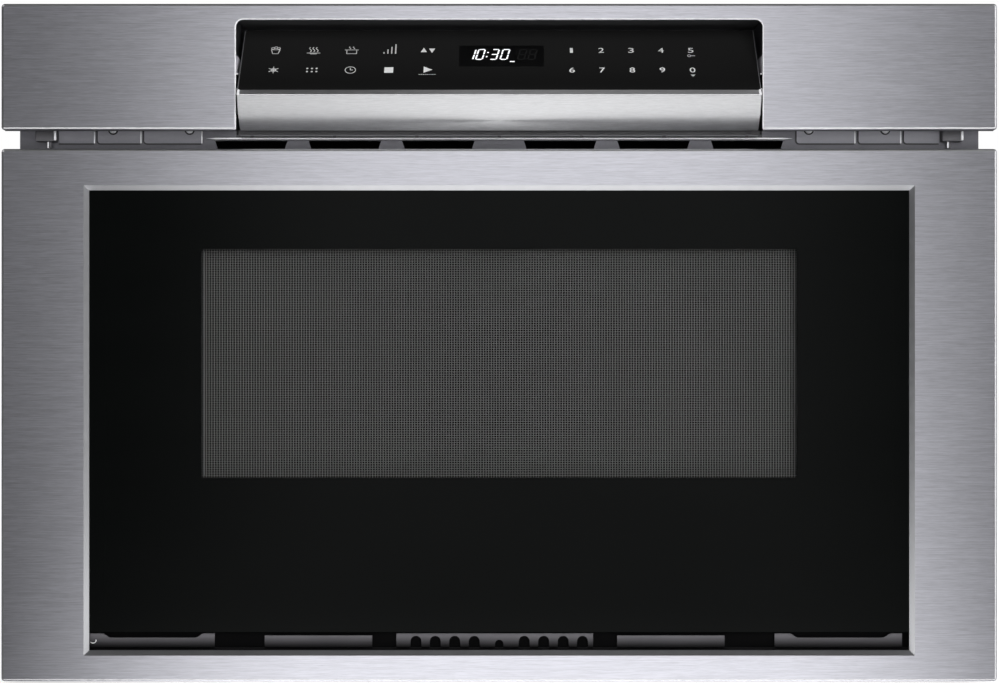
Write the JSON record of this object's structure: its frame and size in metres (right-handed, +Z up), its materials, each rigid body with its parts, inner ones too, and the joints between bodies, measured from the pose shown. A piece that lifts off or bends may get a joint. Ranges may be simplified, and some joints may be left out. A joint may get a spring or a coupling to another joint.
{
  "type": "microwave drawer",
  "caption": "Built-in drawer microwave oven with a steel front, black glass window, sliding tub and tilting control panel.",
  "frame": {"origin": "centre of the box, on the floor under the base plate", "axes": "+X to the user's right, front faces -Y, +Z up"},
  "size_m": [0.7588, 0.6096, 0.5204],
  "materials": {
    "brushed_steel": "horizontal brushed grain",
    "zinc_sheet": "galvanised sheet, satin",
    "flange_grey": "satin grey",
    "stop_grey": "satin moulded",
    "screw_steel": "bright zinc",
    "gland_black": "matt",
    "liner_black": "fine moulded grain",
    "motor_case": "plated steel",
    "cavity_steel": "fine brushed stainless",
    "cover_mica": "pale satin",
    "magnetron_metal": "satin",
    "lamp_white": "satin",
    "core_steel": "laminated, varnished",
    "copper_coil": "enamelled wire",
    "fan_plastic": "moulded",
    "board_green": "circuit board",
    "slide_steel": "bright zinc",
    "gear_nylon": "nylon",
    "door_glass": "black glass with a clear window",
    "screen_steel": "perforated, dark",
    "baffle_dark": "satin dark",
    "tray_glass": "clear toughened",
    "panel_glass": "black touch glass",
    "nose_aluminium": "satin anodised"
  },
  "bodies": {
    "cabinet": {"base_plate": "zinc_sheet", "side_panel_left": "zinc_sheet", "side_panel_right": "zinc_sheet", "top_cover": "zinc_sheet", "back_panel": "zinc_sheet", "front_bulkhead": "flange_grey", "fascia": "brushed_steel", "corner_blocks": "stop_grey", "cabinet_screws": "screw_steel", "cord_gland": "gland_black", "recess_liner": "liner_black", "hinge_plate_left": "zinc_sheet", "hinge_plate_right": "zinc_sheet", "tilt_motor": "motor_case", "oven_cavity": "cavity_steel", "stirrer_dome": "cavity_steel", "stirrer_cover": "cover_mica", "stirrer_motor": "motor_case", "waveguide": "zinc_sheet", "magnetron": "magnetron_metal", "magnetron_frame": "zinc_sheet", "oven_lamp": "lamp_white", "transformer_core": "core_steel", "transformer_coils": "copper_coil", "hv_capacitor": "magnetron_metal", "fan_shroud": "fan_plastic", "fan_motor": "motor_case", "air_duct": "fan_plastic", "exhaust_duct": "zinc_sheet", "noise_filter_board": "board_green", "power_board": "board_green", "slide_outer_left": "slide_steel", "slide_outer_right": "slide_steel", "gear_motor": "motor_case", "interlock_switches": "lamp_white"},
    "drawer": {"door_frame": "brushed_steel", "door_glass": "door_glass", "door_screen": "screen_steel", "door_chassis": "zinc_sheet", "choke_frame": "liner_black", "inner_cover": "liner_black", "vent_baffle": "baffle_dark", "latch_hooks": "screw_steel", "slide_inner_left": "slide_steel", "slide_inner_right": "slide_steel", "rack": "slide_steel", "tub_wall": "cavity_steel", "tub_floor": "cavity_steel", "glass_tray": "tray_glass"},
    "control_panel": {"panel_housing": "liner_black", "panel_glass": "panel_glass", "panel_nose": "nose_aluminium", "panel_board": "board_green", "sector_gear": "gear_nylon"},
    "tilt_pinion": {"tilt_pinion": "gear_nylon"},
    "drive_pinion": {"drive_pinion": "gear_nylon"},
    "stirrer": {"stirrer_blade": "fan_plastic"},
    "fan": {"fan_rotor": "fan_plastic"},
    "slide_middle_left": {"slide_middle_left": "slide_steel"},
    "slide_middle_right": {"slide_middle_right": "slide_steel"}
  },
  "joints": [
    {"name": "drawer_slide", "type": "slide", "parent": "cabinet", "child": "drawer", "axis": [0, -1, 0], "range_m": [0, 0.38]},
    {"name": "slide_left", "type": "slide", "parent": "cabinet", "child": "slide_middle_left", "axis": [0, -1, 0], "range_m": [0, 0.19]},
    {"name": "slide_right", "type": "slide", "parent": "cabinet", "child": "slide_middle_right", "axis": [0, -1, 0], "range_m": [0, 0.19]},
    {"name": "drive_pinion_turn", "type": "hinge", "parent": "cabinet", "child": "drive_pinion", "pos_m": [0.25, -0.22523, 0.046], "axis": [1, 0, 0], "range_deg": [0, 1361]},
    {"name": "panel_tilt", "type": "hinge", "parent": "cabinet", "child": "control_panel", "pos_m": [0, -0.27153, 0.4495], "axis": [1, 0, 0], "range_deg": [0, 45]},
    {"name": "tilt_pinion_turn", "type": "hinge", "parent": "cabinet", "child": "tilt_pinion", "pos_m": [0.209, -0.24753, 0.4495], "axis": [1, 0, 0], "range_deg": [-135, 0]},
    {"name": "stirrer_turn", "type": "hinge", "parent": "cabinet", "child": "stirrer", "pos_m": [0, -0.02523, 0.36], "axis": [0, 0, 1], "continuous": true},
    {"name": "fan_turn", "type": "hinge", "parent": "cabinet", "child": "fan", "pos_m": [0.2, 0.27877, 0.44], "axis": [0, 1, 0], "continuous": true}
  ],
  "couplings": [
    {"joint": "slide_left", "follows": "drawer_slide", "ratio": 0.5},
    {"joint": "slide_right", "follows": "drawer_slide", "ratio": 0.5},
    {"joint": "drive_pinion_turn", "follows": "drawer_slide", "rad_per_m": 62.5},
    {"joint": "tilt_pinion_turn", "follows": "panel_tilt", "ratio": -3}
  ]
}
